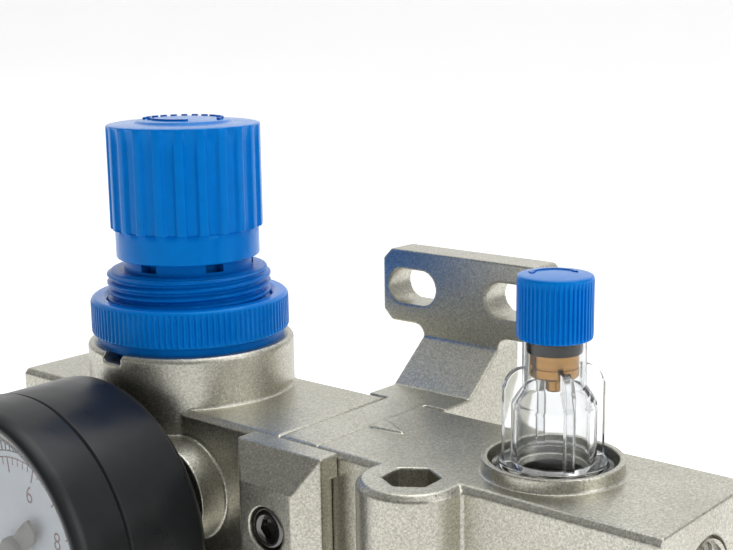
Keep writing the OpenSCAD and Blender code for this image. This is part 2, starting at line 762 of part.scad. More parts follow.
module needle_cap() color(blue) at_lub() difference() {
    union() {
        rod(5.35, 20.4, 29.3);
        translate([0, 0, 21]) linear_extrude(7.9) polygon(ribs(48, 5.35, 5.65));
        translate([0, 0, 29.3]) cylinder(r1 = 5.4, r2 = 5, h = 0.6);
    }
    rod(1.4 + run, 19, 27);
}

module fill_plug() color(steel) translate([fill_x, fill_y, 0]) difference() {
    rod(3.8, -11.6, -6.6);
    rotate([0, 0, 34]) translate([0, 0, -9.2]) cylinder(r = 2.3, h = 5, $fn = 6);
}

module fill_plug_seal() color(rubber) translate([fill_x, fill_y, 0]) tube(3.85, 2.7, -12.4, -11.7);

// Flexible flap in the flow passage that makes the pressure drop
module flow_damper() color(rubber) translate([lub_x - 6, 0, -port_z]) difference() {
    x_rod(6.4, 0, 1.2);
    rotate([-90, 0, 90]) translate([0, 0, -3]) linear_extrude(6) difference() {
        circle(r = 4.4);
        circle(r = 3.8);
        translate([-6, 2]) square([12, 6]);
    }
}

module lubricator_bowl() color(clear) at_lub() bowl_shell();

module lubricator_bowl_seal() color(rubber) at_lub() translate([0, 0, -33.4]) bowl_seal();

module lubricator_guard() color(cast) at_lub() guard_shell();

module lubricator_lock_button() color(blue) at_lub() lock_button();

module lubricator_drain_knob() color(dark) at_lub() drain_knob();

module lubricator_drain_stem() color(brass) at_lub() drain_stem();

placed() regulator_body();
placed() bonnet();
placed() ring_nut();
placed() regulator_knob();
placed() adjusting_screw();
placed() screw_clip();
placed() spring_seat();
placed() main_spring();
placed() diaphragm_plate();
placed() diaphragm();
placed() valve_stem();
placed() valve_poppet();
placed() valve_spring();
placed() valve_cage();
placed() deflector();
placed() filter_element();
placed() filter_baffle();
placed() filter_stud();
placed() filter_bowl();
placed() filter_bowl_seal();
placed() filter_guard();
placed() filter_lock_button();
placed() filter_drain_knob();
placed() filter_drain_stem();
placed() rear_port_plug();
placed() gauge_case();
placed() gauge_stem();
placed() gauge_tube();
placed() gauge_movement();
placed() gauge_sector();
placed() gauge_spindle();
placed() gauge_dial();
placed() gauge_pointer();
placed() gauge_bezel();
placed() gauge_lens();
placed() wall_bracket();
placed() front_clamp();
placed() clamp_screw();
placed() spacer_seals();
placed() lubricator_body();
placed() lubricator_bonnet();
placed() sight_dome();
placed() dome_seal();
placed() drip_block();
placed() needle();
placed() needle_seal();
placed() needle_cap();
placed() fill_plug();
placed() fill_plug_seal();
placed() flow_damper();
placed() siphon_tube();
placed() siphon_filter();
placed() check_ball();
placed() lubricator_bowl();
placed() lubricator_bowl_seal();
placed() lubricator_guard();
placed() lubricator_lock_button();
placed() lubricator_drain_knob();
placed() lubricator_drain_stem();
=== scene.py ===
# Air preparation unit: looks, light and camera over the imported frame.
# Shapes are millimetres in a sub-part's own local frame; places and the scene are metres.
import json
import math

import bmesh
import bpy
import numpy as np
from mathutils import Matrix, Vector


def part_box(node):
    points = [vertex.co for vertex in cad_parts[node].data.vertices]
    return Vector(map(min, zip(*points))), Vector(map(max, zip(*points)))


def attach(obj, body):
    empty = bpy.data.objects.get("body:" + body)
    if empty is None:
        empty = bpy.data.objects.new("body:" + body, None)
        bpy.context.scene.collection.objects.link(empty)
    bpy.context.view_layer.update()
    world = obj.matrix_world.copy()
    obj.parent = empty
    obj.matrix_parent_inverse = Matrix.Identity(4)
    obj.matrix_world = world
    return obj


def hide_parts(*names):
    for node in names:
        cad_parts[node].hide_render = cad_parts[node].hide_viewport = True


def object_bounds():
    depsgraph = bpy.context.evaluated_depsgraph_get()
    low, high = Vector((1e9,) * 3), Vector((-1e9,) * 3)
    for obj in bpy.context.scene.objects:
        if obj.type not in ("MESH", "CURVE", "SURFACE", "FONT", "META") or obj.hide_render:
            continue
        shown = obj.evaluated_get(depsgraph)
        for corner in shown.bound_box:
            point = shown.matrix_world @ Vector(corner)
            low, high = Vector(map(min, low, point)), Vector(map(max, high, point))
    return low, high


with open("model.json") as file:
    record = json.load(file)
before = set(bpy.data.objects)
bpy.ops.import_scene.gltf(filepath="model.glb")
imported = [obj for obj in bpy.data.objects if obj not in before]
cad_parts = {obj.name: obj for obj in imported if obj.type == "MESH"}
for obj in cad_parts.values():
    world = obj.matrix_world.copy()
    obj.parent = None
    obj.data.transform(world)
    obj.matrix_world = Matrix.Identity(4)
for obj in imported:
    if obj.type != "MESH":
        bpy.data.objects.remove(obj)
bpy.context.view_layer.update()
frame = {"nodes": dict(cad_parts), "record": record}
nodes = frame["nodes"]
TAU = 2 * math.pi
MM = 0.001


# ---------------------------------------------------------------- places, all from the frame
def centre(node):
    low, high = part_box(node)
    return (low + high) / 2


top_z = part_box("front_clamp")[1].z
reg = Vector((centre("ring_nut").x, centre("ring_nut").y, top_z))
lub = Vector((centre("needle_cap").x, centre("needle_cap").y, top_z))
gauge = Vector((centre("gauge_bezel").x, reg.y, centre("gauge_bezel").z))
outlet_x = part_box("lubricator_body")[1].x
inlet_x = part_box("regulator_body")[0].x
port_z = centre("spacer_seals").z
screw = centre("clamp_screw")

UP = Matrix.Identity(3)
FRONT = Matrix(((1, 0, 0), (0, 0, -1), (0, 1, 0)))  # local z runs to -Y, local y is up
ALONG_X = Matrix(((0, 0, 1), (1, 0, 0), (0, 1, 0)))  # local z runs to +X


# ---------------------------------------------------------------- node graph helpers
def new_mat(name):
    m = bpy.data.materials.new(name)
    m.use_nodes = True
    t = m.node_tree
    return m, t, t.nodes["Principled BSDF"]


def noise(t, scale, detail=2.0, rough=0.5, kind="ShaderNodeTexNoise", stretch=None):
    tc = t.nodes.new("ShaderNodeTexCoord")
    n = t.nodes.new(kind)
    n.inputs["Scale"].default_value = scale
    if kind == "ShaderNodeTexNoise":
        n.inputs["Detail"].default_value = detail
        n.inputs["Roughness"].default_value = rough
    where = tc.outputs["Object"]
    if stretch:
        mp = t.nodes.new("ShaderNodeMapping")
        mp.inputs["Scale"].default_value = stretch
        t.links.new(where, mp.inputs["Vector"])
        where = mp.outputs["Vector"]
    t.links.new(where, n.inputs["Vector"])
    return n


def out_of(n):
    return n.outputs["Fac"] if "Fac" in n.outputs else n.outputs[0]


def ramp(t, src, stops):
    r = t.nodes.new("ShaderNodeValToRGB")
    t.links.new(src, r.inputs["Fac"])
    e = r.color_ramp.elements
    for i, (pos, col) in enumerate(stops):
        item = e[i] if i < 2 else e.new(pos)
        item.position = pos
        item.color = (*col, 1)
    return r.outputs["Color"]


def grey_ramp(t, src, stops):
    return ramp(t, src, [(pos, (level,) * 3) for pos, level in stops])


def remap(t, src, lo, hi, a=0.3, b=0.7):
    m = t.nodes.new("ShaderNodeMapRange")
    m.inputs["From Min"].default_value, m.inputs["From Max"].default_value = a, b
    m.inputs["To Min"].default_value, m.inputs["To Max"].default_value = lo, hi
    t.links.new(src, m.inputs["Value"])
    return m.outputs["Result"]


def bump(t, src, strength, distance, before=None):
    b = t.nodes.new("ShaderNodeBump")
    b.inputs["Strength"].default_value = strength
    b.inputs["Distance"].default_value = distance
    t.links.new(src, b.inputs["Height"])
    if before is not None:
        t.links.new(before, b.inputs["Normal"])
    return b.outputs["Normal"]


def mix(t, fac, a, b, mode="MIX"):
    m = t.nodes.new("ShaderNodeMix")
    m.data_type = "RGBA"
    m.blend_type = mode
    for sock, val in ((m.inputs[0], fac), (m.inputs[6], a), (m.inputs[7], b)):
        if isinstance(val, (int, float)):
            sock.default_value = val
        elif isinstance(val, tuple):
            sock.default_value = (*val, 1)
        else:
            t.links.new(val, sock)
    return m.outputs[2]


def scaled(c, k):
    return tuple(min(1, v * k) for v in c)


# ---------------------------------------------------------------- materials
BUMP_DEPTH = 0.0001
FINE_BUMP_DEPTH = 0.00005


def surface(name, base, rough=(0.3, 0.4), metal=0.0, spread=0.08, grain=900,
            bumps=((900, 0.15),), ior_level=0.5, tint=(1, 1, 1), stretch=None):
    """A material whose colour and roughness drift, with one or more bump scales."""
    m, t, p = new_mat(name)
    n = noise(t, grain, 3, 0.6, stretch=stretch)
    drift = [(0.3, scaled(base, 1 - spread)), (0.7, scaled(base, 1 + spread))]
    t.links.new(ramp(t, out_of(n), drift), p.inputs["Base Color"])
    t.links.new(remap(t, out_of(noise(t, grain * 0.37, 2)), *rough), p.inputs["Roughness"])
    p.inputs["Metallic"].default_value = metal
    p.inputs["Specular IOR Level"].default_value = ior_level
    p.inputs["Specular Tint"].default_value = (*tint, 1)
    last = None
    for scale, strength in bumps:
        height = out_of(noise(t, scale, 2, stretch=stretch))
        last = bump(t, height, strength, BUMP_DEPTH, last)
    t.links.new(last, p.inputs["Normal"])
    return m


def cast_paint():
    """Metallic paint over a casting: cloudy base, flakes, fine grain and chipped edges."""
    m, t, p = new_mat("cast_paint_metallic")
    flake = noise(t, 4300, kind="ShaderNodeTexVoronoi")
    grain = noise(t, 2600, 3, 0.65)
    cloud = noise(t, 60, 2)
    base = ramp(t, out_of(cloud), [(0.35, (0.535, 0.52, 0.445)), (0.65, (0.595, 0.58, 0.505))])
    spark = grey_ramp(t, flake.outputs["Color"], [(0.12, 0.76), (0.5, 1.0), (0.9, 1.24)])
    base = mix(t, 1.0, base, spark, "MULTIPLY")
    fine = grey_ramp(t, out_of(grain), [(0.3, 0.84), (0.7, 1.12)])
    base = mix(t, 1.0, base, fine, "MULTIPLY")
    # casting nicks: dark chips where a sharp edge meets a patch of noise
    geo = t.nodes.new("ShaderNodeNewGeometry")
    edge = remap(t, geo.outputs["Pointiness"], 0, 1, 0.53, 0.6)
    patch = remap(t, out_of(noise(t, 700, 3, 0.7)), 0, 1, 0.6, 0.66)
    both = t.nodes.new("ShaderNodeMath")
    both.operation = "MULTIPLY"
    t.links.new(edge, both.inputs[0])
    t.links.new(patch, both.inputs[1])
    base = mix(t, both.outputs[0], base, (0.12, 0.115, 0.10))
    t.links.new(base, p.inputs["Base Color"])
    p.inputs["Metallic"].default_value = 0.96
    t.links.new(remap(t, out_of(grain), 0.3, 0.42), p.inputs["Roughness"])
    n = bump(t, out_of(noise(t, 420, 2)), 0.08, 0.00012)
    n = bump(t, out_of(grain), 0.24, 0.00007, n)
    n = bump(t, flake.outputs["Distance"], 0.14, FINE_BUMP_DEPTH, n)
    t.links.new(n, p.inputs["Normal"])
    return m


def clear(name, tint, rough=0.03, waves=90, ior=1.5, level=0.5):
    """A clear moulding or glass with a faint tint, haze and waviness."""
    m, t, p = new_mat(name)
    n = noise(t, waves, 2)
    drift = [(0.3, scaled(tint, 0.985)), (0.7, tint)]
    t.links.new(ramp(t, out_of(n), drift), p.inputs["Base Color"])
    p.inputs["Transmission Weight"].default_value = 1.0
    p.inputs["IOR"].default_value = ior
    p.inputs["Specular IOR Level"].default_value = level
    t.links.new(remap(t, out_of(n), rough * 0.6, rough * 1.4), p.inputs["Roughness"])
    ripples = bump(t, out_of(noise(t, waves * 4, 2)), 0.05, FINE_BUMP_DEPTH)
    t.links.new(ripples, p.inputs["Normal"])
    return m


def ink(name, colour, spread):
    return surface(name, colour, (0.5, 0.6), 0, spread, 2600, ((2600, 0.05),))


MAT = {
    "cast_paint": cast_paint(),
    "blue_plastic": surface(
        "blue_gloss", (0.0, 0.2, 0.71), rough=(0.15, 0.24), spread=0.05, grain=300,
        bumps=((2600, 0.05), (160, 0.04)), tint=(0.08, 0.6, 1)),
    "zinc_steel": surface(
        "zinc_steel", (0.62, 0.62, 0.62), rough=(0.22, 0.36), metal=1, grain=1400,
        bumps=((2400, 0.12),)),
    "black_steel": surface(
        "dark_chrome_steel", (0.16, 0.155, 0.15), rough=(0.12, 0.26), metal=1, spread=0.12,
        bumps=((1800, 0.12),)),
    "spring_steel": surface(
        "spring_wire", (0.45, 0.45, 0.46), rough=(0.25, 0.4), metal=1, spread=0.1, grain=1600,
        bumps=((3000, 0.15),)),
    "brass": surface(
        "turned_brass", (0.44, 0.235, 0.065), rough=(0.14, 0.26), metal=1, spread=0.1,
        grain=300, bumps=((1500, 0.2),), stretch=(0.25, 0.25, 5)),
    "black_rubber": surface(
        "nitrile_rubber", (0.006, 0.006, 0.0065), rough=(0.4, 0.55), spread=0.2, grain=1300,
        bumps=((2600, 0.2),), ior_level=0.2),
    "black_plastic": surface(
        "moulded_black", (0.014, 0.014, 0.015), rough=(0.36, 0.5), spread=0.15, grain=1300,
        bumps=((2600, 0.25),)),
    "gauge_black": surface(
        "satin_black_case", (0.013, 0.014, 0.0155), rough=(0.27, 0.36), spread=0.1, grain=500,
        bumps=((3200, 0.1), (220, 0.04)), ior_level=0.35),
    "white_plastic": surface(
        "moulded_white", (0.78, 0.78, 0.75), rough=(0.4, 0.5), spread=0.04, grain=700,
        bumps=((2200, 0.15),)),
    "filter_white": surface(
        "sintered_filter", (0.8, 0.79, 0.73), rough=(0.8, 0.95), spread=0.1, grain=2600,
        bumps=((2400, 0.9),)),
    "dial_white": surface(
        "dial_enamel", (0.84, 0.91, 0.98), rough=(0.35, 0.45), spread=0.03, grain=400,
        bumps=((2600, 0.06),)),
    "pointer_metal": surface(
        "pointer_bronze", (0.11, 0.1, 0.08), rough=(0.34, 0.46), metal=0.4, spread=0.12,
        grain=1800, bumps=((2600, 0.2),), stretch=(4, 1, 1)),
    "clear_lens": clear("window_glass", (0.97, 0.98, 0.99), rough=0.015, waves=40),
    "clear_plastic": clear(
        "clear_polycarbonate", (0.93, 0.94, 0.945), rough=0.06, waves=120, ior=1.49,
        level=0.3),
}
DARK_BLUE = surface(
    "blue_moulding", (0.0, 0.15, 0.56), rough=(0.24, 0.34), spread=0.06, grain=350,
    bumps=((2400, 0.06),), ior_level=0.3, tint=(0.05, 0.5, 1))
INK_BLACK = ink("dial_ink_black", (0.02, 0.02, 0.025), 0.15)
INK_RED = ink("dial_ink_red", (0.22, 0.03, 0.035), 0.12)
INK_BROWN = ink("dial_ink_brown", (0.2, 0.075, 0.05), 0.12)
TRIM = surface(
    "window_ring", (0.52, 0.49, 0.43), rough=(0.35, 0.5), metal=0.2, spread=0.1,
    bumps=((1800, 0.15),))

slot_of = {s["node"]: s["material_slot"] for s in frame["record"]["subparts"]}
for name, obj in nodes.items():
    obj.data.materials.clear()
    obj.data.materials.append(MAT[slot_of[name]])


# ---------------------------------------------------------------- mesh helpers
def weld(mesh, fix_normals=False):
    bm = bmesh.new()
    bm.from_mesh(mesh)
    bmesh.ops.remove_doubles(bm, verts=bm.verts, dist=1e-7)
    if fix_normals:
        bmesh.ops.recalc_face_normals(bm, faces=bm.faces)
    bm.to_mesh(mesh)
    bm.free()


def linked(name, data):
    obj = bpy.data.objects.new(name, data)
    bpy.context.scene.collection.objects.link(obj)
    return obj


def evaluated_mesh(obj):
    graph = bpy.context.evaluated_depsgraph_get()
    return bpy.data.meshes.new_from_object(obj.evaluated_get(graph))


def add(name, shape, body, at=Vector(), turn=UP, slot=None, mat=None, replace=(), angle=35,
        smooth=True):
    """A piece from (verts, faces), turned and moved to its place, riding on a body."""
    verts, faces = shape
    mesh = bpy.data.meshes.new(name)
    pts = (np.asarray(verts, float) * MM) @ np.array(turn).T + np.array(at)
    mesh.from_pydata(pts.tolist(), [], faces)
    mesh.update()
    weld(mesh, fix_normals=True)
    if smooth:
        mesh.shade_smooth()
        mesh.set_sharp_from_angle(angle=math.radians(angle))
    obj = linked(name, mesh)
    mesh.materials.append(mat or MAT[slot])
    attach(obj, body)
    if replace:
        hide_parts(*replace)
    return obj


def polar(r, degrees):
    return r * math.cos(math.radians(degrees)), r * math.sin(math.radians(degrees))


def lathe(profile, n=96, shape=None, closed=False):
    """Rings round z from (radius, height) points; shape(angle, radius, height) bends a radius."""
    a = np.arange(n) * TAU / n
    verts, faces, rings = [], [], []
    for r, z in profile:
        if r <= 1e-6:
            rings.append([len(verts)])
            verts.append((0, 0, z))
            continue
        rr = np.array([shape(t, r, z) for t in a]) if shape else np.full(n, float(r))
        rings.append(list(range(len(verts), len(verts) + n)))
        verts += list(zip(rr * np.cos(a), rr * np.sin(a), np.full(n, float(z))))
    pairs = list(zip(rings, rings[1:]))
    if closed:
        pairs.append((rings[-1], rings[0]))
    for p, q in pairs:
        if len(p) == 1 and len(q) == 1:
            continue
        for i in range(n):
            j = (i + 1) % n
            if len(p) == 1:
                faces.append((p[0], q[i], q[j]))
            elif len(q) == 1:
                faces.append((p[i], q[0], p[j]))
            else:
                faces.append((p[i], q[i], q[j], p[j]))
    return verts, faces


def rounded(points, steps=4):
    """Profile points (r, z) or (r, z, radius): corners with a radius become arcs."""
    out = []
    for i, p in enumerate(points):
        rad = p[2] if len(p) > 2 else 0
        if not rad or i in (0, len(points) - 1):
            out.append((p[0], p[1]))
            continue
        c = Vector(p[:2])
        a, b = Vector(points[i - 1][:2]) - c, Vector(points[i + 1][:2]) - c
        la, lb = a.length, b.length
        a, b = a.normalized(), b.normalized()
        d = min(rad, la * 0.49, lb * 0.49)
        s, e = c + a * d, c + b * d
        for k in range(steps + 1):
            t = k / steps
            out.append(tuple((1 - t) ** 2 * s + 2 * t * (1 - t) * c + t * t * e))
    return out


def turned_ring(points, steps, n):
    """A closed ring turned from a profile; the last point joins the first."""
    return lathe(rounded([*points, points[0]], steps)[:-1], n, closed=True)


def with_rings(profile, parts, longest=3):
    """Splits the long upright runs of a profile, so that ribs can fade in and out."""
    out = []
    for a, b in zip(profile, profile[1:]):
        out.append(a)
        if abs(a[1] - b[1]) > longest:
            for k in range(1, parts):
                out.append((a[0] + (b[0] - a[0]) * k / parts, a[1] + (b[1] - a[1]) * k / parts))
    out.append(profile[-1])
    return out


def prism(outline, low, high, bevel=0.0):
    """Closed prism of a plan outline between two heights, with a bevelled upper edge."""
    n = len(outline)
    o = np.array(outline, float)
    mid = o.mean(0)
    rings = [(o, low), (o, high - bevel)]
    if bevel:
        d = np.linalg.norm(o - mid, axis=1, keepdims=True)
        rings.append((mid + (o - mid) * (d - bevel) / d, high))
    verts = [(x, y, z) for ring, z in rings for x, y in ring]
    faces = [tuple(range(n - 1, -1, -1)), tuple(range((len(rings) - 1) * n, len(rings) * n))]
    for k in range(len(rings) - 1):
        for i in range(n):
            j = (i + 1) % n
            faces.append((k * n + i, k * n + j, (k + 1) * n + j, (k + 1) * n + i))
    return verts, faces


def arc_band(r1, r2, a1, a2, low, high, steps=24):
    """A band of a ring between two angles in degrees."""
    t = np.linspace(a1, a2, steps)
    outline = [polar(r2, x) for x in t] + [polar(r1, x) for x in t[::-1]]
    n = len(outline)
    verts = [(x, y, z) for z in (low, high) for x, y in outline]
    faces = []
    for i in range(steps - 1):
        a, b = i, i + 1
        c, d = n - 1 - i, n - 2 - i
        faces += [(a, b, d, c), (n + a, n + c, n + d, n + b)]
    for i in range(n):
        j = (i + 1) % n
        faces.append((i, j, n + j, n + i))
    return verts, faces


def curved_arrow(band, ends, head, tip, low, high, steps):
    """Parts of a curved arrow with a head at each end: tip is its radius and its lead."""
    parts = [arc_band(*band, *ends, low, high, steps)]
    for end, side in zip(ends, (-1, 1)):
        corners = [polar(head[0], end), polar(head[1], end), polar(tip[0], end + side * tip[1])]
        parts.append(prism(corners, low, high))
    return parts


def joined(parts):
    verts, faces = [], []
    for v, f in parts:
        k = len(verts)
        verts += list(v)
        faces += [tuple(i + k for i in face) for face in f]
    return verts, faces


def smoothstep(x, a, b):
    t = min(1.0, max(0.0, (x - a) / (b - a)))
    return t * t * (3 - 2 * t)


def rib(n, duty=0.5, soft=0.12, phase=0.0):
    """0 in the groove to 1 on the rib, n times round."""

    def value(t):
        u = (t * n / TAU + phase) % 1.0
        return smoothstep(u, 0, soft) - smoothstep(u, duty, duty + soft)

    return value


# ---------------------------------------------------------------- castings: rounded CAD copies
PORT_DEPTH = 12
PORT_BORE_R = 8.36  # just outside the thread, so that the thread's helix shows
COLLAR_LIFT, LIFT_FROM, LIFT_FADE, COLLAR_BORE_R = 0.7 * MM, 2 * MM, 4 * MM, 15.5 * MM


def raise_collar(mesh):
    """Lifts the regulator's round collar; the lift fades in above the flat top."""
    co = np.empty(3 * len(mesh.vertices))
    mesh.vertices.foreach_get("co", co)
    co = co.reshape(-1, 3)
    dist = np.hypot(co[:, 0] - reg.x, co[:, 1] - reg.y)
    share = np.clip((co[:, 2] - reg.z - LIFT_FROM) / LIFT_FADE, 0, 1)
    co[:, 2] += COLLAR_LIFT * share * (dist > COLLAR_BORE_R)
    mesh.vertices.foreach_set("co", co.ravel())
    mesh.update()


def soften(obj, body, voxel, bore):
    """Opens the port, then remeshes and smooths; the result is the object's own mesh."""
    cutter = None
    if bore:
        at, length = bore
        plug = [(0, -0.02), (PORT_BORE_R, -0.02), (PORT_BORE_R, length), (0, length)]
        cutter = add("cutter", lathe(plug), body, at, ALONG_X, mat=MAT["cast_paint"],
                     smooth=False)
        mod = obj.modifiers.new("bore", "BOOLEAN")
        mod.object, mod.operation, mod.solver = cutter, "DIFFERENCE", "EXACT"
    mod = obj.modifiers.new("voxels", "REMESH")
    mod.mode, mod.voxel_size = "VOXEL", voxel
    mod = obj.modifiers.new("soft", "SMOOTH")
    mod.factor, mod.iterations = 0.5, 2
    bpy.context.view_layer.update()
    done = evaluated_mesh(obj)
    obj.modifiers.clear()
    obj.data = done
    if cutter:
        bpy.data.objects.remove(cutter)
    done.shade_smooth()


def casting(node, body, voxel=0.23 * MM, bore=None, lift=False):
    obj = linked(node + "_cast", nodes[node].data.copy())
    weld(obj.data)
    soften(obj, body, voxel, bore)
    if lift:
        raise_collar(obj.data)
    obj.data.materials.clear()
    obj.data.materials.append(MAT["cast_paint"])
    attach(obj, body)
    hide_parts(node)


def on_port_axis(x):
    return Vector((x, reg.y, port_z))


casting("regulator_body", "unit", bore=(on_port_axis(inlet_x), PORT_DEPTH), lift=True)
casting("lubricator_body", "unit",
        bore=(on_port_axis(outlet_x - PORT_DEPTH * MM), PORT_DEPTH + 0.1))
casting("wall_bracket", "unit", 0.24 * MM)
casting("front_clamp", "unit", 0.2 * MM)
casting("filter_guard", "filter_cup", 0.4 * MM)
casting("lubricator_guard", "oil_cup", 0.4 * MM)

# ---------------------------------------------------------------- port threads, G 3/8
PORT_MINOR_R, PORT_MAJOR_R, PORT_PITCH, PORT_THREAD = 7.48, 8.34, 1.337, 11.3
FLANK = 0.85  # below 1 the crests and roots of the thread are rounded


def helix(minor, major, length, pitch, n=96, step=0.11):
    def shape(t, r, z):
        u = (z / pitch - t / TAU) % 1.0
        return minor + (major - minor) * (1 - abs(2 * u - 1)) ** FLANK

    return lathe([(minor, z) for z in np.arange(0, length + 1e-6, step)], n, shape)


for name, x, start in (("outlet_thread", outlet_x, -11.9), ("inlet_thread", inlet_x, 0.6)):
    add(name, helix(PORT_MINOR_R, PORT_MAJOR_R, PORT_THREAD, PORT_PITCH), "unit",
        on_port_axis(x + start * MM), ALONG_X, slot="cast_paint")

# ---------------------------------------------------------------- regulator knob
KNOB_R, SKIRT_R, SKIRT_BORE_R = 13.75, 12.97, 12.1
SKIRT_LOW, SKIRT_HIGH, KNOB_WALL_TOP = 24.2, 29.5, 48.15
KNOB_RIBS, KNOB_RIB_DEPTH = 22, 0.62
knob_ribs = rib(KNOB_RIBS, 0.46, 0.13, 0.1)


def knob_shape(t, r, z):
    if r < 12.6 or z < SKIRT_HIGH - 0.05:
        return r
    k = smoothstep(z, SKIRT_HIGH - 0.05, SKIRT_HIGH + 0.1)
    k *= 1 - smoothstep(z, 47.0, KNOB_WALL_TOP)
    return r - KNOB_RIB_DEPTH * (1 - knob_ribs(t)) * k


knob_profile = [(SKIRT_BORE_R, 31.0)] + rounded([
    (SKIRT_BORE_R, SKIRT_LOW + 0.3), (SKIRT_BORE_R + 0.2, SKIRT_LOW), (SKIRT_R, SKIRT_LOW, 0.6),
    (SKIRT_R, SKIRT_HIGH), (KNOB_R, SKIRT_HIGH, 0.2), (KNOB_R, 47.5), (13.72, 48.0, 0.8),
    (12.9, KNOB_WALL_TOP), (8.9, 48.3, 0.6), (8.3, 48.72, 0.5), (5.0, 49.0), (0, 49.08)], 5)
add("knob_shell", lathe(with_rings(knob_profile, 8), KNOB_RIBS * 18, knob_shape), "knob", reg,
    slot="blue_plastic", replace=["regulator_knob"], angle=32)

marks = [arc_band(6.7, 7.25, a, a + 9, 48.6, 49.12, 6) for a in range(20, 220, 16)]
marks += curved_arrow((5.6, 6.0), (238, 318), (5.2, 6.4), (5.8, 9), 48.75, 49.16, 24)
add("knob_top_marks", joined(marks), "knob", reg, slot="blue_plastic", mat=DARK_BLUE, angle=30)

# ---------------------------------------------------------------- knurled panel nut
NUT_R, NUT_LOW, NUT_HIGH = 18.0, 10.35, 17.2
NUT_KNURLS, KNURL_DEPTH = 108, 0.34
knurl = rib(NUT_KNURLS, 0.5, 0.22)


def nut_shape(t, r, z):
    if r < NUT_R - 0.6:
        return r
    k = smoothstep(z, 10.7, 11.2) * (1 - smoothstep(z, 16.2, 16.8))
    return r - KNURL_DEPTH * (1 - knurl(t)) * k - 0.05 * (1 - k)


nut_profile = rounded([
    (15.0, NUT_LOW), (17.5, NUT_LOW, 0.3), (NUT_R, 10.8, 0.2), (NUT_R, 16.7, 0.25),
    (17.45, NUT_HIGH, 0.3), (15.6, NUT_HIGH, 0.3), (14.98, 16.7)], 4)
add("ring_nut_knurled", lathe(with_rings(nut_profile, 10), NUT_KNURLS * 8, nut_shape, True),
    "nut", reg, slot="blue_plastic", replace=["ring_nut"], angle=40)

# ---------------------------------------------------------------- bonnet: M30 neck and crown
NECK_ROOT_R, NECK_CREST, NECK_PITCH, NECK_TOP = 14.05, 0.8, 1.5, 21.9
CROWN_R, CROWN_BORE_R, CROWN_TOP = 11.7, 9.7, 27
CROWN_SLOTS, FIRST_SLOT, HALF_SLOT = 6, 41, 8.2  # degrees


def neck_shape(t, r, z):
    u = (z / NECK_PITCH - t / TAU) % 1.0
    crest = smoothstep(u, 0.08, 0.4) - smoothstep(u, 0.6, 0.92)
    return NECK_ROOT_R + NECK_CREST * crest * (1 - smoothstep(z, 21.2, NECK_TOP))


def crown_posts():
    pitch = 360 / CROWN_SLOTS
    for k in range(CROWN_SLOTS):
        start = FIRST_SLOT + pitch * k + HALF_SLOT
        yield arc_band(CROWN_BORE_R, CROWN_R, start, start + pitch - 2 * HALF_SLOT,
                       NECK_TOP, CROWN_TOP, 20)


flange = rounded([(15.05, 5), (15.05, 8.3), (16.6, 8.45, 0.2), (17.0, 8.8, 0.3), (17.0, 10.3),
                  (14.1, 10.3)], 4)
shoulder = rounded([(NECK_ROOT_R, NECK_TOP), (13.5, 22.0, 0.2), (CROWN_R, 22.0)], 3)
bonnet_parts = [
    lathe(flange, 128),
    lathe([(14, z) for z in np.arange(10.2, NECK_TOP + 0.05, 0.105)], 144, neck_shape),
    lathe(shoulder, 128),
    lathe([(CROWN_R, NECK_TOP), (CROWN_R, 22.6)], 128),
    *crown_posts(),
    lathe([(CROWN_BORE_R, CROWN_TOP), (CROWN_BORE_R, 21.95), (4.1, 21.95)], 96),
]
add("bonnet_moulded", joined(bonnet_parts), "unit", reg, slot="blue_plastic", mat=DARK_BLUE,
    replace=["bonnet"], angle=32)

# ---------------------------------------------------------------- lubricator cap
CAP_R, CAP_RIBS, CAP_RIB_DEPTH = 5.65, 48, 0.3
cap_ribs = rib(CAP_RIBS, 0.5, 0.2)


def cap_shape(t, r, z):
    if r < 5.0:
        return r
    k = smoothstep(z, 20.5, 20.8) * (1 - smoothstep(z, 28.6, 29.5))
    return r - CAP_RIB_DEPTH * (1 - cap_ribs(t)) * k


cap_profile = rounded([
    (4.75, 20.9), (4.75, 20.42), (CAP_R - 0.1, 20.4, 0.25), (CAP_R, 21.0), (CAP_R, 29.0),
    (CAP_R - 0.05, 29.75, 0.7), (4.6, 29.88), (0, 29.93)], 5)
add("needle_cap_moulded", lathe(with_rings(cap_profile, 10), CAP_RIBS * 12, cap_shape),
    "oil_cap", lub, slot="blue_plastic", replace=["needle_cap"], angle=36)
marks = curved_arrow((3.35, 3.65), (70, 200), (3.0, 4.05), (3.5, 16), 29.8, 30.02, 30)
add("needle_cap_arrow", joined(marks), "oil_cap", lub, slot="blue_plastic", mat=DARK_BLUE,
    angle=30)

# ---------------------------------------------------------------- sight dome with four fins
DOME_R, DOME_NECK_R = 6.4, 4.75
FINS, FIRST_FIN, FIN_R, FIN_HALF_WIDTH = 4, 51, 7.8, 0.7
FIN_FOOT, FIN_SHOULDER = 2.0, 13.3


def fin_shape(angle):
    """An upright rounded plate with a round shoulder up to the neck."""
    outline = [(DOME_R + 0.02, FIN_FOOT), (FIN_R, FIN_FOOT), (FIN_R, FIN_SHOULDER)]
    for q in range(8, 91, 8):
        c, s = polar(1, q)
        outline.append((DOME_NECK_R + 0.01 + 2.8 * c, FIN_SHOULDER + 2.85 * s))
    outline += [(DOME_NECK_R + 0.01, 16.15), (DOME_NECK_R + 0.01, 13.15), (DOME_R + 0.02, 10.65)]
    c, s = polar(1, angle)
    m = len(outline)
    verts = [(x * c - w * s, x * s + w * c, z)
             for w in (-FIN_HALF_WIDTH, FIN_HALF_WIDTH) for x, z in outline]
    faces = [tuple(range(m)), tuple(range(2 * m - 1, m - 1, -1))]
    faces += [(i, (i + 1) % m, m + (i + 1) % m, m + i) for i in range(m)]
    return verts, faces


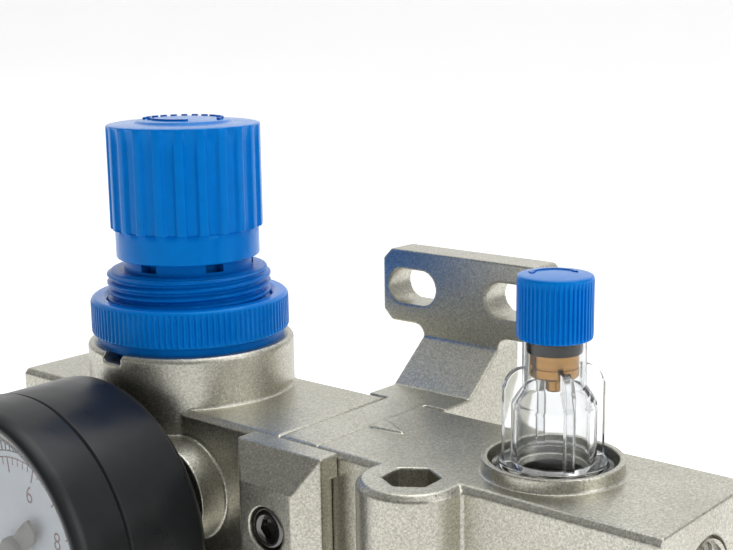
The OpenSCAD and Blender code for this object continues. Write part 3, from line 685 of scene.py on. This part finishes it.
dome = turned_ring([
    (5.5, -0.5), (9.3, -0.5, 0.15), (9.3, 0.9, 0.3), (8.3, 1.1, 0.2), (8.1, 1.9, 0.3),
    (DOME_R + 0.05, FIN_FOOT, 0.15), (DOME_R, 10.6, 0.3), (DOME_NECK_R, 13.1, 0.3),
    (DOME_NECK_R - 0.02, 20.3, 0.15), (4.3, 20.3), (4.3, 12.9, 0.3), (5.5, 10.2, 0.5)], 5, 128)
add("sight_dome_moulded", dome, "unit", lub, slot="clear_plastic", replace=["sight_dome"],
    angle=30)
for k in range(FINS):
    fin = add(f"sight_dome_fin_{k}", fin_shape(FIRST_FIN + 360 / FINS * k), "unit", lub,
              slot="clear_plastic", angle=30)
    mod = fin.modifiers.new("edge", "BEVEL")
    mod.width, mod.segments, mod.limit_method = 0.45 * MM, 4, "ANGLE"
    mod.angle_limit = math.radians(50)

# ---------------------------------------------------------------- brass, seal and needle inside
BLOCK_R, STEM_R, NEEDLE_R = 3.68, 1.25, 1.0
block = rounded([
    (0, 12.3), (1.0, 12.3, 0.15), (STEM_R, 12.6), (STEM_R, 14.5), (3.3, 14.55, 0.1),
    (BLOCK_R, 14.9, 0.15), (BLOCK_R, 16.1), (BLOCK_R - 0.16, 16.2), (BLOCK_R - 0.16, 16.45),
    (BLOCK_R, 16.55), (BLOCK_R, 18.2), (0, 18.2)], 3)
add("drip_block_turned", lathe(block), "unit", lub, slot="brass", replace=["drip_block"],
    angle=30)
seal = turned_ring([
    (1.5, 18.25), (4.05, 18.25, 0.2), (4.22, 18.8, 0.2), (4.22, 19.5, 0.2), (4.05, 20.0, 0.2),
    (1.5, 20.0)], 3, 96)
add("needle_seal_ring", seal, "unit", lub, slot="black_rubber", replace=["needle_seal"],
    angle=30)
needle = [(0, 12.9), (NEEDLE_R / 2, 13.3), (NEEDLE_R, 13.6), (NEEDLE_R, 25.0), (0, 25.0)]
add("needle_turned", lathe(needle, 48), "oil_needle", lub, slot="brass", replace=["needle"],
    angle=30)

# ---------------------------------------------------------------- gauge case, heights from the axis
CASE_R, BEZEL_R = 26.0, 26.2
BACK, SEAM, LIP = 20.9, 36.6, 46.4


def add_gauge(name, shape, slot, **options):
    return add(name, shape, "unit", gauge, FRONT, slot=slot, **options)


case = rounded([
    (0, BACK), (24.9, BACK, 0.6), (CASE_R, BACK + 1.2, 0.7), (CASE_R, SEAM - 0.35, 0.12),
    (CASE_R - 0.25, SEAM - 0.05), (24.8, SEAM - 0.05), (24.8, SEAM + 1.9), (23.3, SEAM + 1.9),
    (23.3, BACK + 2), (5, BACK + 2), (5, BACK)], 5)
add_gauge("gauge_case_shell", lathe(case, 192), "gauge_black", replace=["gauge_case"], angle=28)
bezel = turned_ring([
    (24.85, SEAM + 0.15), (25.9, SEAM + 0.15), (BEZEL_R, SEAM + 0.45, 0.15),
    (BEZEL_R, LIP - 1.5, 0.9), (25.5, LIP, 0.8), (24.3, LIP - 0.1, 0.7),
    (23.55, LIP - 1.35, 0.2), (23.55, LIP - 1.9), (24.85, LIP - 1.9)], 6, 192)
add_gauge("gauge_bezel_ring", bezel, "gauge_black", replace=["gauge_bezel"], angle=28)
trim = turned_ring([
    (23.5, LIP - 1.75), (22.4, LIP - 1.85, 0.3), (22.0, LIP - 2.2, 0.3), (22.6, 39.05),
    (23.3, 39.05)], 4, 160)
add_gauge("gauge_trim_ring", trim, "dial_white", mat=TRIM, angle=30)
window = [(0, 44.86), (23.4, 44.8), (23.45, 44.7), (21.9, 44.62), (21.9, 43.9), (0, 43.9)]
add_gauge("gauge_window", lathe(window, 128), "clear_lens", replace=["gauge_lens"], angle=30)

# ---------------------------------------------------------------- dial: 0 to 10 bar in red
ZERO, BAR = 226.0, 25.6  # degrees: the angle of zero, and one bar
DIAL, PRINT = 39.0, 0.05  # the face's height and the print's thickness


def tick(angle, r1, r2, half_width):
    u, n = polar(1, angle), polar(1, angle + 90)
    corners = ((r1, -half_width), (r2, -half_width), (r2, half_width), (r1, half_width))
    return prism([(u[0] * r + n[0] * w, u[1] * r + n[1] * w) for r, w in corners],
                 DIAL, DIAL + PRINT)


def scale_ring(inner, outer, count, major, minor):
    """A ring with ticks over the whole scale, every fifth one major: (r1, r2, half width)."""
    parts = [arc_band(inner, outer, ZERO - 10 * BAR, ZERO, DIAL, DIAL + PRINT, 90)]
    for i in range(count + 1):
        parts.append(tick(ZERO - i * 10 * BAR / count, *(minor if i % 5 else major)))
    return joined(parts)


red = scale_ring(15.95, 16.12, 50, (13.35, 16.0, 0.13), (14.75, 16.0, 0.08))
add_gauge("dial_scale_red", red, "dial_white", mat=INK_RED, smooth=False)
black = scale_ring(17.05, 17.27, 72, (17.2, 19.2, 0.2), (17.2, 18.5, 0.14))
add_gauge("dial_scale_black", black, "dial_white", mat=INK_BLACK, smooth=False)


def digits(name, text, radius, angle, size, mat):
    """Flat generic digits, turned into a mesh, upright on the dial."""
    curve = bpy.data.curves.new(name, "FONT")
    curve.body, curve.size, curve.align_x, curve.align_y = text, size, "CENTER", "CENTER"
    curve.resolution_u, curve.offset = 3, -0.02
    flat = linked(name, curve)
    bpy.context.view_layer.update()
    mesh = evaluated_mesh(flat)
    bpy.data.objects.remove(flat)
    x, y = polar(radius, angle)
    co = np.array([v.co for v in mesh.vertices]).reshape(-1, 3)
    co[:, 0] = co[:, 0] * 0.86 + x
    co[:, 1] += y
    co[:, 2] = DIAL + 0.04
    faces = [tuple(p.vertices) for p in mesh.polygons]
    add_gauge(name, (co, faces), "dial_white", mat=mat, smooth=False)


for i in range(0, 11, 2):
    digits(f"dial_digit_{i}", str(i), 10.9 if i < 10 else 10.4, ZERO - i * BAR, 4.5, INK_BROWN)
for i in range(0, 15, 2):
    digits(f"dial_outer_digit_{i}", str(i * 10), 20.6, ZERO - i * 10 * BAR / 14.5, 1.7,
           INK_BLACK)

# ---------------------------------------------------------------- pointer: wide tail and hub
POINTS_TO = ZERO - 1


def pointing(pts):
    c, s = polar(1, POINTS_TO)
    return [(x * c - y * s, x * s + y * c) for x, y in pts]


blade = [(16.6, -0.12), (16.6, 0.12), (4.0, 0.8), (3.3, 1.4), (0.5, 1.9), (-6.9, 1.9),
         (-8.4, 1.2), (-8.2, -1.6), (-6.9, -1.9), (0.5, -1.9), (3.3, -1.4), (4.0, -0.8)]
hub = rounded([(0, 40.3), (2.9, 40.3), (2.9, 41.3, 0.3), (2.2, 41.6, 0.3), (0, 41.7)], 4)
add("gauge_pointer_blade", joined([prism(pointing(blade), 40.25, 40.8, 0.06), lathe(hub, 64)]),
    "pointer", gauge, FRONT, slot="pointer_metal", replace=["gauge_pointer"], angle=30)

# end of the gauge boss, up to the back of the case
boss_end = turned_ring([(5.0, 19.6), (9.62, 19.5), (9.62, 20.8, 0.1), (5.0, 20.85)], 3, 96)
add_gauge("gauge_boss_face", boss_end, "cast_paint", angle=30)

# ---------------------------------------------------------------- clamp screw, hexagon socket
HEAD_R, SHANK_R, RIM_R = 3.5, 1.98, 2.15
SOCKET_R, SOCKET_TURN = 1.75, 12  # over the corners, and degrees of turn


def clamp_screw_shape(front, n=96):
    """Head, socket and shank; front is the height of the head's face."""
    head = lathe(rounded([
        (SHANK_R, front - 1.4), (HEAD_R - 0.05, front - 1.4, 0.1), (HEAD_R, front - 0.5, 0.3),
        (3.0, front - 0.02, 0.3), (2.35, front, 0.15), (RIM_R, front - 0.12)], 4), n)
    angles = [TAU * i / n for i in range(n)]
    wall = [(RIM_R * math.cos(a), RIM_R * math.sin(a), front - 0.12) for a in angles]
    side, half = math.radians(60), math.radians(30)
    for depth in (0.25, 1.6):
        for a in angles:
            r = (a - math.radians(SOCKET_TURN)) % side - half
            r = SOCKET_R * math.cos(half) / math.cos(r)
            wall.append((r * math.cos(a), r * math.sin(a), front - depth))
    faces = []
    for k in range(2):
        for i in range(n):
            j = (i + 1) % n
            faces.append((k * n + i, k * n + j, (k + 1) * n + j, (k + 1) * n + i))
    wall.append((0, 0, front - 1.9))
    faces += [(2 * n + i, 2 * n + (i + 1) % n, 3 * n) for i in range(n)]
    shank = lathe([(SHANK_R, front - 1.4), (SHANK_R, front - 11.8), (0, front - 12)], 48)
    return joined([head, (wall, faces), shank])


screw_front = (reg.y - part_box("clamp_screw")[0].y) / MM
add("clamp_screw_head", clamp_screw_shape(screw_front), "unit",
    Vector((screw.x, reg.y, screw.z)), FRONT, slot="black_steel", replace=["clamp_screw"],
    angle=30)

# ---------------------------------------------------------------- backdrop: floor, cove and wall
FLOOR_GAP, HALF_WIDTH, FLOOR_NEAR, COVE_FROM, COVE_R, WALL_TOP = 0.002, 4, -3.0, 1.2, 0.9, 3.5


def backdrop():
    floor_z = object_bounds()[0].z - FLOOR_GAP
    curve = [(FLOOR_NEAR, 0.0), (COVE_FROM, 0.0)]
    for a in range(6, 91, 6):
        c, s = polar(COVE_R, a)
        curve.append((COVE_FROM + s, COVE_R - c))
    curve.append((COVE_FROM + COVE_R, WALL_TOP))
    pts = [(x, y, floor_z + z) for y, z in curve for x in (-HALF_WIDTH, HALF_WIDTH)]
    faces = [(2 * i, 2 * i + 1, 2 * i + 3, 2 * i + 2) for i in range(len(curve) - 1)]
    mesh = bpy.data.meshes.new("floor")
    mesh.from_pydata(pts, [], faces)
    mesh.shade_smooth()
    return linked("floor", mesh)


def pale_backdrop():
    """Pale paper that glows a little, more towards the left, to stay white there."""
    m, t, p = new_mat("pale_backdrop")
    paper = grey_ramp(t, out_of(noise(t, 3, 2)), [(0.3, 0.9), (0.7, 0.93)])
    t.links.new(paper, p.inputs["Base Color"])
    p.inputs["Emission Color"].default_value = (1, 1, 1, 1)
    place = t.nodes.new("ShaderNodeTexCoord")
    split = t.nodes.new("ShaderNodeSeparateXYZ")
    t.links.new(place.outputs["Object"], split.inputs[0])
    glow = remap(t, split.outputs["X"], 0.5, 0.1, 0.15, 0.8)
    t.links.new(glow, p.inputs["Emission Strength"])
    p.inputs["Roughness"].default_value = 0.9
    return m


floor = backdrop()
floor.data.materials.append(pale_backdrop())


# ---------------------------------------------------------------- light
def studio_world():
    """A white room, brightest behind the unit (+Y) and dimmest in front of it."""
    world = bpy.data.worlds.new("studio")
    bpy.context.scene.world = world
    world.use_nodes = True
    t = world.node_tree
    sky = t.nodes["Background"]
    sky.inputs["Color"].default_value = (1, 1, 1, 1)
    place = t.nodes.new("ShaderNodeTexCoord")
    split = t.nodes.new("ShaderNodeSeparateXYZ")
    t.links.new(place.outputs["Generated"], split.inputs[0])
    t.links.new(remap(t, split.outputs["Y"], 0.26, 1.06, -0.4, 0.5), sky.inputs["Strength"])


def lamp(name, at, size, power, size_y=None, target=Vector((0, -0.04, -0.02))):
    data = bpy.data.lights.new(name, "AREA")
    data.energy, data.size = power, size
    if size_y:
        data.shape, data.size_y = "RECTANGLE", size_y
    obj = linked(name, data)
    obj.location = at
    obj.rotation_mode = "QUATERNION"
    obj.rotation_quaternion = (target - Vector(at)).to_track_quat("-Z", "Y")


studio_world()
lamp("overhead", (0.05, 0.15, 0.9), 0.7, 3)
lamp("right_soft", (0.95, 0.05, 0.4), 0.45, 2, 0.9)
bpy.context.scene.view_settings.view_transform = "Standard"


# ---------------------------------------------------------------- camera, fitted to the photo
def camera(at, yaw, pitch, roll, lens, shift):
    """Angles in degrees: yaw from +Y to the left, pitch down, roll about the view."""
    data = bpy.data.cameras.new("camera")
    cam = linked("camera", data)
    yaw, pitch, roll = (math.radians(a) for a in (yaw, pitch, roll))
    fwd = Vector((-math.sin(yaw) * math.cos(pitch), math.cos(yaw) * math.cos(pitch),
                  -math.sin(pitch)))
    right = Vector((math.cos(yaw), math.sin(yaw), 0))
    up = right.cross(fwd)
    level_right = right * math.cos(roll) + up * math.sin(roll)
    level_up = -right * math.sin(roll) + up * math.cos(roll)
    cam.location = at
    cam.rotation_euler = Matrix((level_right, level_up, -fwd)).transposed().to_euler()
    data.sensor_width, data.lens = 36, lens
    data.shift_x, data.shift_y = shift
    data.clip_start, data.clip_end = 0.01, 20
    bpy.context.scene.camera = cam


camera((0.13945, -0.19479, 0.05079), yaw=39.38, pitch=11.41, roll=-0.55, lens=64.2514,
       shift=(-0.0404, 0.0016))
